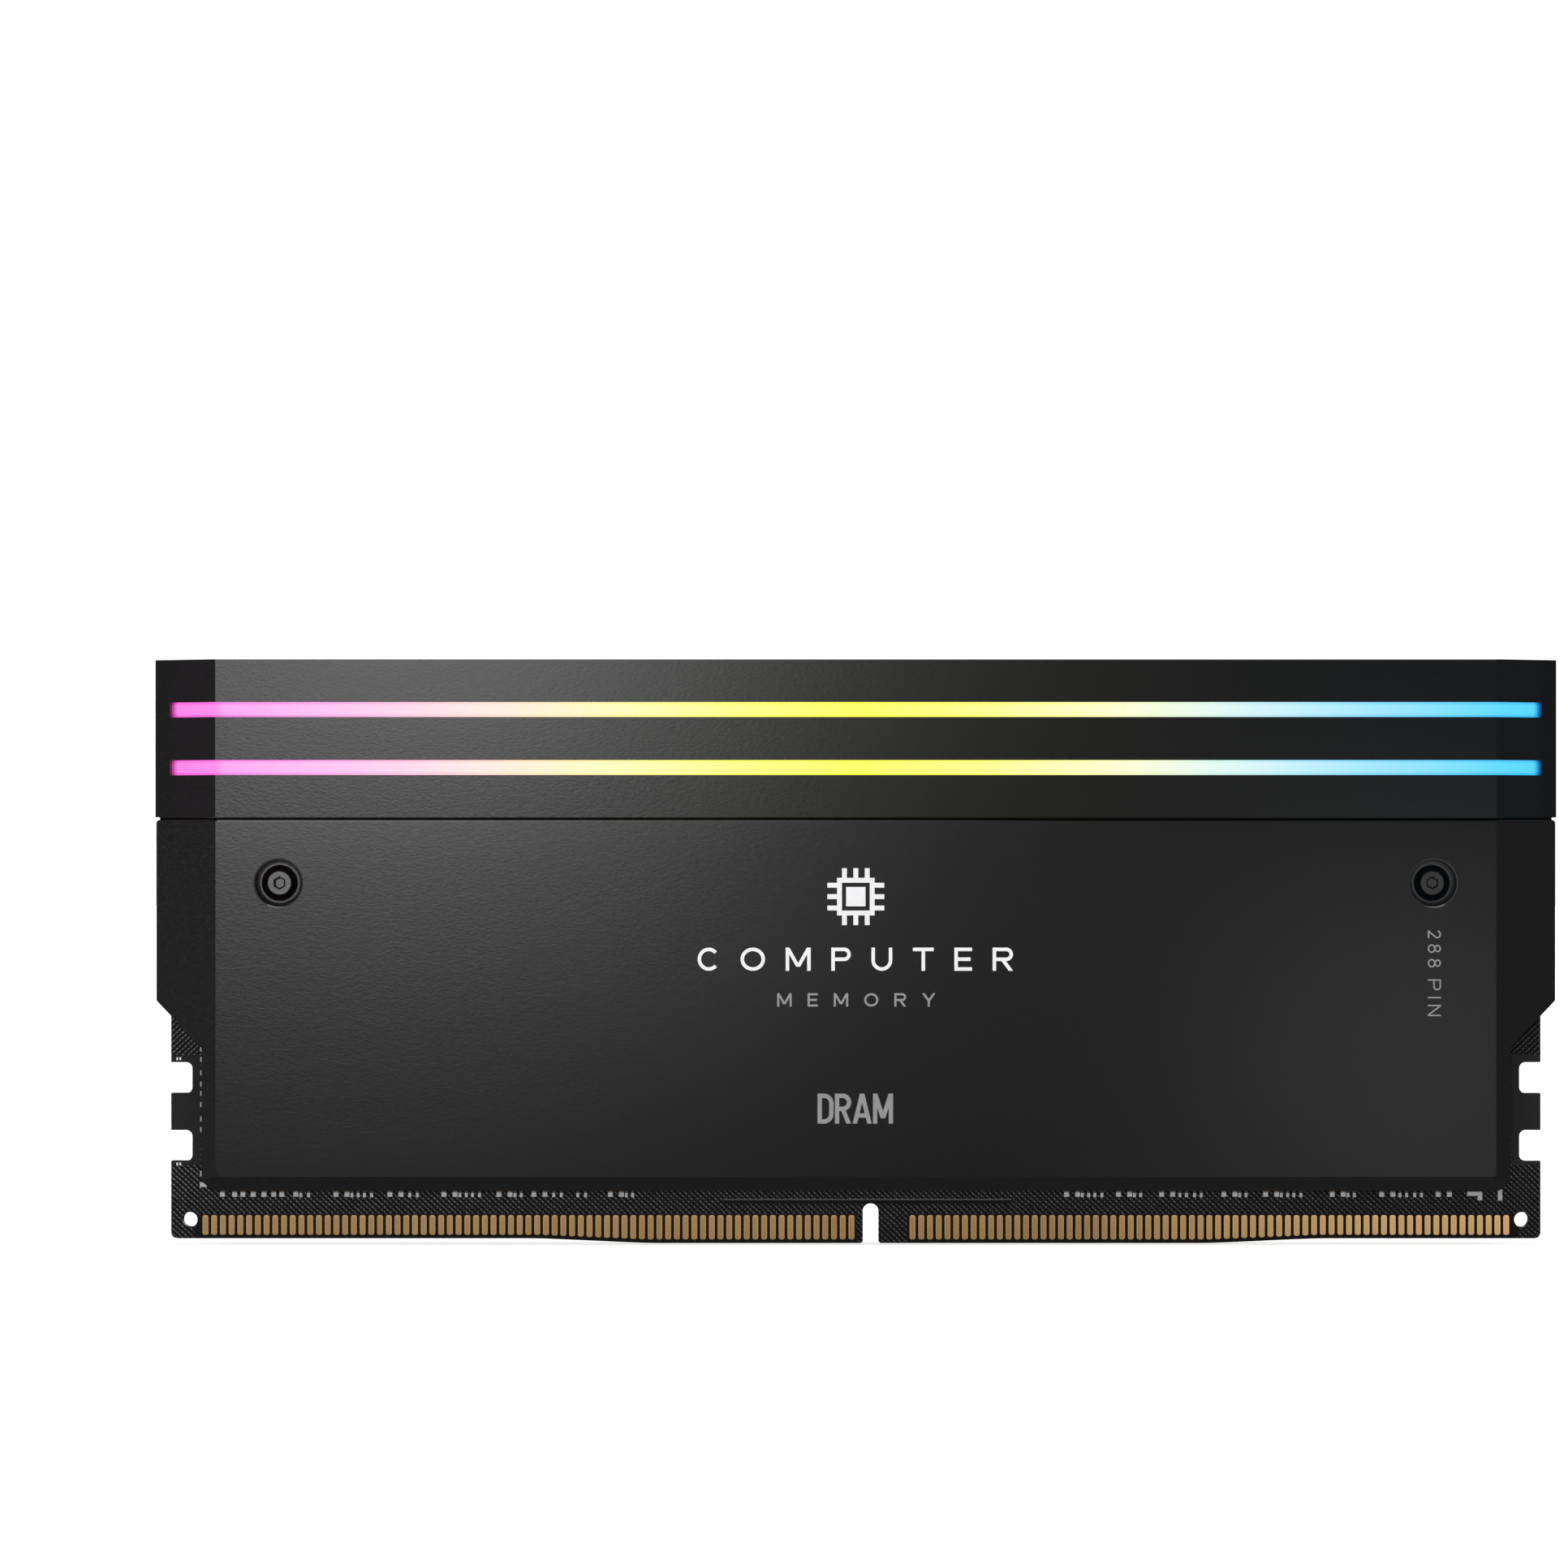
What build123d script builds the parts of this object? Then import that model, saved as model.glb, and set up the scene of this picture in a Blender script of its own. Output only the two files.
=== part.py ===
from build123d import *
import math
import os

# Desktop memory module. A tall circuit board with gold edge contacts sits between two black
# aluminium heat spreader plates. A top bar with two light slots on each side fits over the board's
# upper edge, and its two legs are screwed to the board through holes in the front plate.
#
# All sizes are in millimetres. The origin is the middle of the contact edge: X runs along the
# module, -Y is its front, +Z is up, and Y = 0 is the middle of the board's thickness.

FRONT, REAR = -1, 1

# Circuit board
BOARD_LENGTH = 133.35
BOARD_THICKNESS = 1.27
BOARD_TOP = 51.5
SHOULDER_Z = 37.0            # above this the board is narrower, to fit inside the top bar
SHOULDER_INSET = 2.175
BOARD_CORNER_R = 0.6
EDGE_STEP = 0.45             # the contact edge is this much higher towards both ends
LEFT_SLOPE = (-30.9, -20.3)  # x range in which the contact edge drops to Z = 0
RIGHT_SLOPE = (34.5, 45.0)   # and rises again
SLOPE_BLEND_R = 60.0
KEY_X = 1.44
KEY_WIDTH = 1.5
KEY_HEIGHT = 3.85
KEY_LEAD_IN = 0.2
LATCH_DEPTH = 2.07
LATCH_HEIGHT = 3.0
LATCH_BOTTOMS = (8.0, 14.6)
LATCH_CORNER_R = 0.6
TOOLING_HOLE_D = 1.45
TOOLING_HOLE_X = 64.84
TOOLING_HOLE_Z = 2.28

# Edge contacts, the same on both faces
CONTACT_PITCH = 0.85
CONTACT_WIDTH = 0.56
CONTACT_TOP = 2.72
CONTACT_EDGE_GAP = 0.35
CONTACT_THICKNESS = 0.035
CONTACT_CORNER_R = 0.2
LEFT_CONTACTS = 75           # these end at LAST_LEFT_CONTACT_X
RIGHT_CONTACTS = 69          # these start at FIRST_RIGHT_CONTACT_X
LAST_LEFT_CONTACT_X = -0.425
FIRST_RIGHT_CONTACT_X = 5.525

# Casing seen from above: long flats that taper to blunt ends
CASE_HALF_LENGTH = 68.05
CASE_HALF_DEPTH = 3.8
CASE_FLAT_HALF = 61.94       # where the taper starts
CASE_END_HALF_DEPTH = 1.6
TAPER_SLOPE = (CASE_HALF_DEPTH - CASE_END_HALF_DEPTH) / (CASE_HALF_LENGTH - CASE_FLAT_HALF)
TAPER_COS = 1 / math.hypot(1, TAPER_SLOPE)

# Heat spreader plates
PLATE_STEP_BACK = 0.08       # the plates lie this much inside the top bar's outline
PLATE_BOTTOM = 5.22
PLATE_TOP = 41.19
PLATE_INNER_Y = 2.285        # distance of the plate's inner face from the middle of the board
PLATE_TAPER_WALL = 1.07
PLATE_END_WALL = 1.15
PARTING_GAP = 0.06           # between the front and rear plates, at their end lips
EAR_BOTTOM = 23.64           # the full width ends here in a 45 degree cut
SKIRT_HALF_LENGTH = 63.35
SKIRT_TOP = 19.08
SKIRT_CORNER = 1.0
PLATE_CORNER_R = 0.35
PLATE_CUT_R = 0.2            # at the other corners of the plate's outline
LOWER_BEVEL_TOP = 6.66
LOWER_BEVEL_DEPTH = 1.15
BEVEL_RIDGE_R = 0.6
RIDGE_LEAN = 0.2             # a ridge between two bevels leans at least this much along every axis
PLATE_EDGE_BREAK = 0.12

# Top bar
BAR_BOTTOM = 41.44
BAR_TOP = 56.71
BAR_WALL = 1.2
BAR_ROOF = 1.5
BAR_EDGE_BREAK = 0.06
SLOT_BOTTOMS = (45.51, 51.12)
SLOT_HEIGHT = 1.46
SLOT_HALF_LENGTH = 66.53
SLOT_START = 0.2              # the slots start this far from the middle, so the ends stay joined
# A ring under the bar closes the seam from inside. Its walls lie this far inside the bar's
# face, taper and end. The plates' upper edge is cut away behind it.
TONGUE_OUTER = (0.95, 0.62, 0.36)
TONGUE_INNER = (1.2, 1.0, 0.8)
TONGUE_BOTTOM = 40.75
REBATE_CLEARANCE = 0.06
REBATE_Z = 40.65
LEG_WIDTH = 7.0
LEG_BOTTOM = 31.4
LEG_ROOT = (42.0, 44.6)       # Z range in which a leg joins the bar's front wall
LEG_CORNER_R = 1.0
LEG_OUTER_Y = 2.235
# A pointed groove around each screw seat: radii of its edges and of its bottom, and its depth
SEAT_GROOVE_R = (1.12, 1.5, 1.95)
SEAT_GROOVE_DEPTH = 0.95

# Light guides
GUIDE_RECESS = 0.3            # the ribs end this far behind the bar's front face
GUIDE_FLAT_HALF = 61.56
GUIDE_FACET = (66.14, 1.851)  # x and depth where the rib's steep end facet starts
GUIDE_END = (66.5, 0.95)
GUIDE_CLEARANCE = 0.02
GUIDE_WEB = 0.75
GUIDE_Z = (44.9, 53.6)

# Screws that hold the bar's legs, and their access holes in the front plate
SCREW_X = 55.86
SCREW_Z = 35.07
SCREW_HEAD_D = 2.42
SCREW_HEAD_FACE = 2.8         # distance of the head's top from the middle of the board
SCREW_HEAD_BREAK = 0.1
SCREW_SHANK_D = 1.6
SCREW_TIP_Y = 2.7
SOCKET_ACROSS_FLATS = 0.84
SOCKET_BREAK = 0.15
SOCKET_DEPTH = 0.5
LEG_HOLE_D = 1.8
BOARD_HOLE_D = 2.4
ACCESS_RIM_D = 4.82
ACCESS_RIM_BREAK = 0.12
ACCESS_HOLE_D = 3.5
ACCESS_LEDGE_D = 3.9
ACCESS_LEDGE_DEPTH = 1.28
BOSS_D = 5.0
INSERT_D = 2.6
INSERT_FACE_Y = 3.0
INSERT_FLANGE_D = 3.2
INSERT_FLANGE = 0.4

# Memory chips, four on each side of the middle on both faces
CHIP_SIZE = (10.0, 1.1, 11.0)
CHIP_Z = 15.3
CHIP_PITCH = 12.6
FIRST_CHIP_X = 19.6
CHIP_EDGE_BREAK = 0.08
PAD_MARGIN = 0.5              # how far a thermal pad reaches past the chips

# Chips, coils and capacitors of the power supply and lighting, all on the front face
POWER_CHIP = ((0.0, 22.0), (5.0, 0.85, 5.0))      # (x, z) and size
HUB_CHIP = ((0.0, 13.0), (3.0, 0.75, 3.0))
LIGHT_CHIP = ((-22.0, 37.5), (4.0, 0.85, 4.0))
COIL_SIZE = (2.5, 1.2, 2.0)
COIL_SITES = ((-5.2, 28.5), (0.0, 28.5), (5.2, 28.5))
BULK_SIZE = (1.25, 1.25, 2.0)
BULK_SITES = ((-8.2, 19.0), (-8.2, 22.5), (-6.0, 19.0), (6.0, 19.0), (8.2, 19.0), (8.2, 22.5))

# Small two-terminal parts: width, height above the board, length and length of one metal end
WIDE_PART = (0.46, 0.45, 1.3, 0.42)
NARROW_PART = (0.27, 0.3, 1.2, 0.42)
WIDE_BOTTOM = 4.54
NARROW_BOTTOM = 4.48
# Groups along the lower edge: offsets of the wide parts and of the narrow parts
LONG_GROUP = ((0, 1.08), (1.54, 2.16, 2.76, 3.45))
SHORT_GROUP = ((0, 1.08), (1.55, 2.16))
SPREAD_GROUP = ((0, 1.08), (1.92, 2.66))
OPEN_GROUP = ((0, 1.08), (1.79, 2.43, 3.22, 3.87))
WIDE_ROW = ((0, 1.2, 2.0, 3.0, 4.05, 5.0, 5.78), ())
WIDE_PAIR = ((0, 1.08), ())
NARROW_PAIR = ((), (0, 0.75))
LOWER_EDGE = (
    (-61.63, WIDE_ROW), (-54.48, ((0,), (0.47, 1.22))), (-50.58, LONG_GROUP), (-45.33, SPREAD_GROUP),
    (-40.07, LONG_GROUP), (-34.72, SHORT_GROUP), (-31.32, SPREAD_GROUP), (-27.05, NARROW_PAIR),
    (-23.88, SHORT_GROUP), (20.50, LONG_GROUP), (25.56, SHORT_GROUP), (29.75, OPEN_GROUP),
    (35.81, SHORT_GROUP), (39.87, LONG_GROUP), (46.35, SHORT_GROUP), (51.17, OPEN_GROUP),
    (56.67, WIDE_PAIR),
)
# Parts that lie across the left edge of the plate, with one end in view
SIDE_PART_END_X = -63.78
SIDE_PART_HEIGHTS = (6.8, 11.07, 12.1, 13.5, 14.6, 15.5, 16.6, 17.9, 18.9)
CORNER_PART = ((-63.49, 5.72), (0.62, 0.5, 0.44))   # (x, z) and size
# Bare tinned pads: x range and z range of each
PROBE_PAD_THICKNESS = 0.05
HOOK_PAD_BAR = ((59.54, 60.99), (4.6, 5.0))
HOOK_PAD_LEG = ((60.54, 60.99), (4.16, 5.0))
TALL_PAD = ((62.52, 62.94), (4.14, 5.2))

# Lights near the board's upper edge, on both faces
LIGHT_COUNT = 11
LIGHT_PITCH = 12.0
LIGHT_Z = 49.05
LIGHT_SIZE = (1.6, 0.6, 1.5)
LIGHT_LENS_D = 1.1
LIGHT_LENS_DEPTH = 0.35

BOARD_FACE = BOARD_THICKNESS / 2

OVERCUT = 1.0    # how far a cutting shape reaches past the surface that it opens
OVERLAP = 0.1    # how far two shapes run into each other before they become one


def block(x, y, z):
    """Box that spans the given (low, high) ranges."""
    spans = [sorted(pair) for pair in (x, y, z)]
    size = [high - low for low, high in spans]
    centre = [(high + low) / 2 for low, high in spans]
    return Pos(*centre) * Box(*size)


def part_on_board(side, x, z, size):
    """Box with its base on the board's front or rear face, centred on x and z."""
    width, height, length = size
    y = (side * BOARD_FACE, side * (BOARD_FACE + height))
    return block((x - width / 2, x + width / 2), y, (z - length / 2, z + length / 2))


def rod(x, z, diameter, y_from, y_to):
    """Round bar along Y between two depths."""
    start, length = min(y_from, y_to), abs(y_to - y_from)
    return extrude(Plane((x, start, z), x_dir=(1, 0, 0), z_dir=(0, 1, 0)) * Circle(diameter / 2), length)


def save(shape, node):
    """Write one sub-part to its own file. A list becomes a group of separate solids."""
    if isinstance(shape, list):
        shape = Compound(children=shape)
    export_step(shape, "parts/" + node + ".step")


# --- circuit board ------------------------------------------------------------------------------

def edge_height(x):
    """Height of the contact edge at x."""
    drop = (x - LEFT_SLOPE[1]) / (LEFT_SLOPE[0] - LEFT_SLOPE[1])
    rise = (x - RIGHT_SLOPE[0]) / (RIGHT_SLOPE[1] - RIGHT_SLOPE[0])
    return EDGE_STEP * min(1, max(0, drop, rise))


def board_outline():
    """Outline of the board in X and Z, with its stepped contact edge and narrower top."""
    half = BOARD_LENGTH / 2
    top_half = half - SHOULDER_INSET
    points = [
        (-half, EDGE_STEP), (LEFT_SLOPE[0], EDGE_STEP), (LEFT_SLOPE[1], 0),
        (RIGHT_SLOPE[0], 0), (RIGHT_SLOPE[1], EDGE_STEP), (half, EDGE_STEP),
        (half, SHOULDER_Z), (top_half, SHOULDER_Z), (top_half, BOARD_TOP),
        (-top_half, BOARD_TOP), (-top_half, SHOULDER_Z), (-half, SHOULDER_Z),
    ]
    corner, blend = BOARD_CORNER_R, SLOPE_BLEND_R
    radii = [corner, blend, blend, blend, blend, corner] + [corner, 0, corner] * 2
    return Plane.XZ * make_face(FilletPolyline(*points, radius=radii, close=True))


def key_notch():
    """Round-topped key notch with a small lead-in at its mouth."""
    half = KEY_WIDTH / 2
    mouth = half + KEY_LEAD_IN
    shoulder = KEY_HEIGHT - half
    sides = Polyline(
        (KEY_X - half, shoulder), (KEY_X - half, KEY_LEAD_IN), (KEY_X - mouth, 0),
        (KEY_X - mouth, -OVERCUT), (KEY_X + mouth, -OVERCUT),
        (KEY_X + mouth, 0), (KEY_X + half, KEY_LEAD_IN), (KEY_X + half, shoulder),
    )
    crown = ThreePointArc((KEY_X - half, shoulder), (KEY_X, KEY_HEIGHT), (KEY_X + half, shoulder))
    return extrude(Plane.XZ * make_face([sides, crown]), BOARD_THICKNESS, both=True)


def latch_notch(side_of_board, bottom):
    """Notch in one end of the board for a socket latch, rounded at its inner corners."""
    reach = 2 * LATCH_DEPTH
    x = side_of_board * BOARD_LENGTH / 2
    notch = Pos(x, 0, bottom + LATCH_HEIGHT / 2) * Box(reach, 2 * BOARD_THICKNESS, LATCH_HEIGHT)
    inner_edges = notch.edges().filter_by(Axis.Y).sort_by(Axis.X)
    inner_edges = inner_edges[:2] if side_of_board > 0 else inner_edges[-2:]
    return fillet(inner_edges, LATCH_CORNER_R)


def circuit_board():
    board = extrude(board_outline(), BOARD_FACE, both=True)
    board -= key_notch()
    for end in (-1, 1):
        for bottom in LATCH_BOTTOMS:
            board -= latch_notch(end, bottom)
        board -= rod(end * TOOLING_HOLE_X, TOOLING_HOLE_Z, TOOLING_HOLE_D, -OVERCUT, OVERCUT)
        board -= rod(end * SCREW_X, SCREW_Z, BOARD_HOLE_D, -OVERCUT, OVERCUT)
    return board


# --- edge contacts ------------------------------------------------------------------------------

def contact_positions():
    left = [LAST_LEFT_CONTACT_X - i * CONTACT_PITCH for i in range(LEFT_CONTACTS)]
    right = [FIRST_RIGHT_CONTACT_X + i * CONTACT_PITCH for i in range(RIGHT_CONTACTS)]
    return sorted(left + right)


def contact(side, x):
    """One gold contact with rounded corners. Its lower end follows the board's edge."""
    left, right = x - CONTACT_WIDTH / 2, x + CONTACT_WIDTH / 2
    tip = edge_height(x) + CONTACT_EDGE_GAP
    points = [(left, tip), (right, tip), (right, CONTACT_TOP), (left, CONTACT_TOP)]
    outline = make_face(FilletPolyline(*points, radius=CONTACT_CORNER_R, close=True))
    on_face = Plane((0, side * BOARD_FACE, 0), x_dir=(1, 0, 0), z_dir=(0, -1, 0))
    return extrude(on_face * outline, amount=CONTACT_THICKNESS, dir=(0, side, 0))


# --- casing -------------------------------------------------------------------------------------

def half_plan(side, face_inset, taper_inset=None, end_inset=None, start=0.0):
    """Half of the casing's outline seen from above, on one side of Y = start.

    Its flat, tapers and ends lie inside the outer surface by the three insets.
    """
    taper_inset = face_inset if taper_inset is None else taper_inset
    end_inset = face_inset if end_inset is None else end_inset
    taper_drop = taper_inset / TAPER_COS
    flat_y = CASE_HALF_DEPTH - face_inset
    flat_x = CASE_FLAT_HALF + (face_inset - taper_drop) / TAPER_SLOPE
    end_x = CASE_HALF_LENGTH - end_inset
    end_y = CASE_HALF_DEPTH - (end_x - CASE_FLAT_HALF) * TAPER_SLOPE - taper_drop
    right = [(end_x, start), (end_x, end_y), (flat_x, flat_y)]
    left = [(-x, y) for x, y in reversed(right)]
    return make_face(Polyline([(x, side * y) for x, y in right + left], close=True))


def raise_between(face, bottom, top):
    """Solid on a face in the XY plane, from one height to another."""
    return Pos(0, 0, bottom) * extrude(face, amount=top - bottom, dir=(0, 0, 1))


def both_halves(bottom, top, *insets):
    """Solid of the whole casing outline, moved inwards by the insets."""
    return raise_between(half_plan(FRONT, *insets), bottom, top) + raise_between(
        half_plan(REAR, *insets), bottom, top
    )


def plate_silhouette():
    """Front view of a heat spreader plate: full width above, cut in at 45 degrees to its skirt."""
    half = CASE_HALF_LENGTH - PLATE_STEP_BACK
    right = [
        (SKIRT_HALF_LENGTH - SKIRT_CORNER, PLATE_BOTTOM), (SKIRT_HALF_LENGTH, PLATE_BOTTOM + SKIRT_CORNER),
        (SKIRT_HALF_LENGTH, SKIRT_TOP), (half, EAR_BOTTOM), (half, PLATE_TOP),
    ]
    left = [(-x, z) for x, z in reversed(right)]
    radii = [PLATE_CUT_R] * 4 + [PLATE_CORNER_R]
    outline = FilletPolyline(right + left, radius=radii + radii[::-1], close=True)
    return extrude(Plane.XZ * make_face(outline), CASE_HALF_DEPTH, both=True)


def lower_bevel(side):
    """Wedge that slopes the plate's face back along its lower edge."""
    face_y = CASE_HALF_DEPTH - PLATE_STEP_BACK
    slope = LOWER_BEVEL_DEPTH / (LOWER_BEVEL_TOP - PLATE_BOTTOM)
    below, outside = PLATE_BOTTOM - OVERCUT, face_y + OVERCUT
    profile = [
        (face_y, LOWER_BEVEL_TOP), (face_y - slope * (LOWER_BEVEL_TOP - below), below),
        (outside, below), (outside, LOWER_BEVEL_TOP),
    ]
    wedge = make_face(Polyline([(side * y, z) for y, z in profile], close=True))
    return extrude(Plane.YZ * wedge, CASE_HALF_LENGTH, both=True)


def is_bevel_ridge(edge):
    """True for an edge that runs from a lower corner of the flat face down between two bevels."""
    along = edge.tangent_at(0.5)
    leans = min(abs(along.X), abs(along.Y), abs(along.Z)) > RIDGE_LEAN
    height = edge.center().Z
    return leans and PLATE_BOTTOM + SKIRT_CORNER < height < LOWER_BEVEL_TOP


def heat_spreader(side):
    start = PARTING_GAP / 2
    plan = half_plan(side, PLATE_STEP_BACK, PLATE_STEP_BACK, PLATE_STEP_BACK, start)
    plate = raise_between(plan, PLATE_BOTTOM, PLATE_TOP) & plate_silhouette()
    plate -= lower_bevel(side)
    plate = fillet(plate.edges().filter_by(is_bevel_ridge), BEVEL_RIDGE_R)
    rims = plate.faces().filter_by(Axis.Y).sort_by(Axis.Y)
    outer_face = rims[0] if side == FRONT else rims[-1]
    upper_edges = outer_face.edges().filter_by(lambda edge: edge.center().Z > PLATE_TOP - OVERCUT)
    plate = chamfer(upper_edges, PLATE_EDGE_BREAK)
    inner_insets = (CASE_HALF_DEPTH - PLATE_INNER_Y, PLATE_TAPER_WALL, PLATE_END_WALL)
    plate -= both_halves(PLATE_BOTTOM - OVERCUT, PLATE_TOP + OVERCUT, *inner_insets)
    rebate_insets = [inset - REBATE_CLEARANCE for inset in TONGUE_OUTER]
    plate -= both_halves(REBATE_Z, PLATE_TOP + OVERCUT, *rebate_insets)
    return plate


def access_hole(x):
    """Stepped hole in the front plate: broken rim, dished wall, ledge and straight hole."""
    rim, ledge, hole = ACCESS_RIM_D / 2, ACCESS_LEDGE_D / 2, ACCESS_HOLE_D / 2
    face = CASE_HALF_DEPTH - PLATE_STEP_BACK
    throat = rim - ACCESS_RIM_BREAK
    floor = face - ACCESS_LEDGE_DEPTH
    wall_top = (throat, face - ACCESS_RIM_BREAK)
    wall_bottom = (ledge, floor)
    outside, inside = face + OVERCUT, PLATE_INNER_Y - OVERCUT
    dish = TangentArc(wall_top, wall_bottom, tangent=(0, -1))
    above = Polyline((0, outside), (rim, outside), (rim, face), wall_top)
    below = Polyline(wall_bottom, (hole, floor), (hole, inside), (0, inside), (0, outside))
    profile = make_face([above, dish, below])
    turned = revolve(Plane((x, 0, SCREW_Z), x_dir=(1, 0, 0), z_dir=(0, 0, 1)) * mirror(profile, Plane.XZ),
                     Axis((x, 0, SCREW_Z), (0, 1, 0)))
    return turned


def front_plate():
    plate = heat_spreader(FRONT)
    for end in (-1, 1):
        plate -= access_hole(end * SCREW_X)
    return plate


def rear_plate():
    """Rear plate, with a blind boss behind the board for each threaded insert."""
    plate = heat_spreader(REAR)
    for end in (-1, 1):
        x = end * SCREW_X
        plate += rod(x, SCREW_Z, BOSS_D, BOARD_FACE, PLATE_INNER_Y + OVERLAP)
        plate -= rod(x, SCREW_Z, INSERT_D, 0, INSERT_FACE_Y)
        plate -= rod(x, SCREW_Z, INSERT_FLANGE_D, 0, BOARD_FACE + INSERT_FLANGE)
    return plate


def seat_groove(x):
    """Cutter for the pointed groove around a leg's screw seat."""
    inner, bottom, outer = SEAT_GROOVE_R
    surface, deep = LEG_OUTER_Y, LEG_OUTER_Y - SEAT_GROOVE_DEPTH
    profile = make_face(Polyline([(inner, -surface), (outer, -surface), (bottom, -deep)], close=True))
    return revolve(Pos(x, 0, SCREW_Z) * profile, Axis((x, 0, SCREW_Z), (0, 1, 0)))


def bar_leg(x):
    """Leg of the top bar that lies on the board behind the front plate, with its screw seat."""
    across = (x - LEG_WIDTH / 2, x + LEG_WIDTH / 2)
    leg = block(across, (-LEG_OUTER_Y, -BOARD_FACE), (LEG_BOTTOM, LEG_ROOT[1]))
    leg = fillet(leg.edges().filter_by(Axis.Y).sort_by(Axis.Z)[:2], LEG_CORNER_R)
    root_y = CASE_HALF_DEPTH - BAR_WALL + OVERLAP
    leg += block(across, (-root_y, -LEG_OUTER_Y), LEG_ROOT)
    return leg - rod(x, SCREW_Z, LEG_HOLE_D, -LEG_OUTER_Y - OVERCUT, 0) - seat_groove(x)


def top_bar():
    bar = both_halves(BAR_BOTTOM, BAR_TOP, 0.0)
    bar = chamfer(bar.faces().sort_by(Axis.Z)[-1].edges(), BAR_EDGE_BREAK)
    bar -= both_halves(BAR_BOTTOM - OVERCUT, BAR_TOP - BAR_ROOF, BAR_WALL)
    tongue = both_halves(TONGUE_BOTTOM, BAR_BOTTOM, *TONGUE_OUTER)
    tongue -= both_halves(TONGUE_BOTTOM, BAR_BOTTOM, *TONGUE_INNER)
    bar += tongue
    along = (-SLOT_HALF_LENGTH, SLOT_HALF_LENGTH)
    for bottom in SLOT_BOTTOMS:
        for side in (FRONT, REAR):
            depth = (side * SLOT_START, side * (CASE_HALF_DEPTH + OVERCUT))
            bar -= block(along, depth, (bottom, bottom + SLOT_HEIGHT))
    for end in (-1, 1):
        bar += bar_leg(end * SCREW_X)
    return bar


def light_guide(side):
    """Clear guide behind the bar's wall, with one rib in each slot."""
    start = PARTING_GAP / 2
    inset = BAR_WALL + GUIDE_CLEARANCE
    web = raise_between(half_plan(side, inset, inset, inset, start), *GUIDE_Z)
    face_y = CASE_HALF_DEPTH - GUIDE_RECESS
    right = [(GUIDE_END[0], start), GUIDE_END, GUIDE_FACET, (GUIDE_FLAT_HALF, face_y)]
    left = [(-x, y) for x, y in reversed(right)]
    rib_plan = make_face(Polyline([(x, side * y) for x, y in right + left], close=True))
    guide = web
    for bottom in SLOT_BOTTOMS:
        guide += raise_between(rib_plan, bottom + GUIDE_CLEARANCE, bottom + SLOT_HEIGHT - GUIDE_CLEARANCE)
    return guide - both_halves(GUIDE_Z[0] - OVERCUT, GUIDE_Z[1] + OVERCUT, inset + GUIDE_WEB)


# --- fasteners ----------------------------------------------------------------------------------

def screw(x):
    """Low-head screw with a bevelled hexagon socket, its corner up."""
    head_face, seat = -SCREW_HEAD_FACE, -LEG_OUTER_Y
    head = rod(x, SCREW_Z, SCREW_HEAD_D, head_face, seat)
    head = chamfer(head.edges().sort_by(Axis.Y)[0], SCREW_HEAD_BREAK)
    body = head + rod(x, SCREW_Z, SCREW_SHANK_D, seat, SCREW_TIP_Y)
    body = chamfer(body.edges().sort_by(Axis.Y)[-1], SCREW_HEAD_BREAK)
    socket = Plane((x, head_face, SCREW_Z), x_dir=(0, 0, 1), z_dir=(0, 1, 0)) * RegularPolygon(
        SOCKET_ACROSS_FLATS / 2, 6, major_radius=False
    )
    body -= extrude(socket, SOCKET_DEPTH)
    top = body.faces().filter_by(Axis.Y).sort_by(Axis.Y)[0]
    return chamfer(top.inner_wires()[0].edges(), SOCKET_BREAK)


def threaded_insert(x):
    """Flanged brass insert pressed into the rear plate's boss."""
    insert = rod(x, SCREW_Z, INSERT_D, BOARD_FACE, INSERT_FACE_Y)
    insert += rod(x, SCREW_Z, INSERT_FLANGE_D, BOARD_FACE, BOARD_FACE + INSERT_FLANGE)
    return insert - rod(x, SCREW_Z, SCREW_SHANK_D, 0, INSERT_FACE_Y + OVERCUT)


# --- parts on the board -------------------------------------------------------------------------

def chip(side, x, z, size):
    """Moulded chip package with broken upper edges."""
    body = part_on_board(side, x, z, size)
    top = body.faces().sort_by(Axis.Y)[0 if side == FRONT else -1]
    return chamfer(top.edges(), CHIP_EDGE_BREAK)


def chip_positions():
    right = [FIRST_CHIP_X + i * CHIP_PITCH for i in range(4)]
    return [-x for x in reversed(right)] + right


def thermal_pad(side, end):
    """Soft pad between one row of four chips and the plate."""
    reach = CHIP_SIZE[0] / 2 + PAD_MARGIN
    inner, outer = FIRST_CHIP_X - reach, FIRST_CHIP_X + 3 * CHIP_PITCH + reach
    half_height = CHIP_SIZE[2] / 2 + PAD_MARGIN
    y = (side * (BOARD_FACE + CHIP_SIZE[1]), side * PLATE_INNER_Y)
    return block((end * inner, end * outer), y, (CHIP_Z - half_height, CHIP_Z + half_height))


def power_chip_pad():
    """Pad that fills the gap from the power chip to the front plate."""
    (x, z), (width, height, length) = POWER_CHIP
    y = (-(BOARD_FACE + height), -PLATE_INNER_Y)
    return block((x - width / 2, x + width / 2), y, (z - length / 2, z + length / 2))


def upright_part(side, x, bottom, kind):
    """Small part that stands across the lower edge: its body and two metal ends."""
    width, height, length, end = kind
    body = part_on_board(side, x, bottom + length / 2, (width, height, length - 2 * end))
    ends = [part_on_board(side, x, bottom + z, (width, height, end)) for z in (end / 2, length - end / 2)]
    return body, ends


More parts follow.
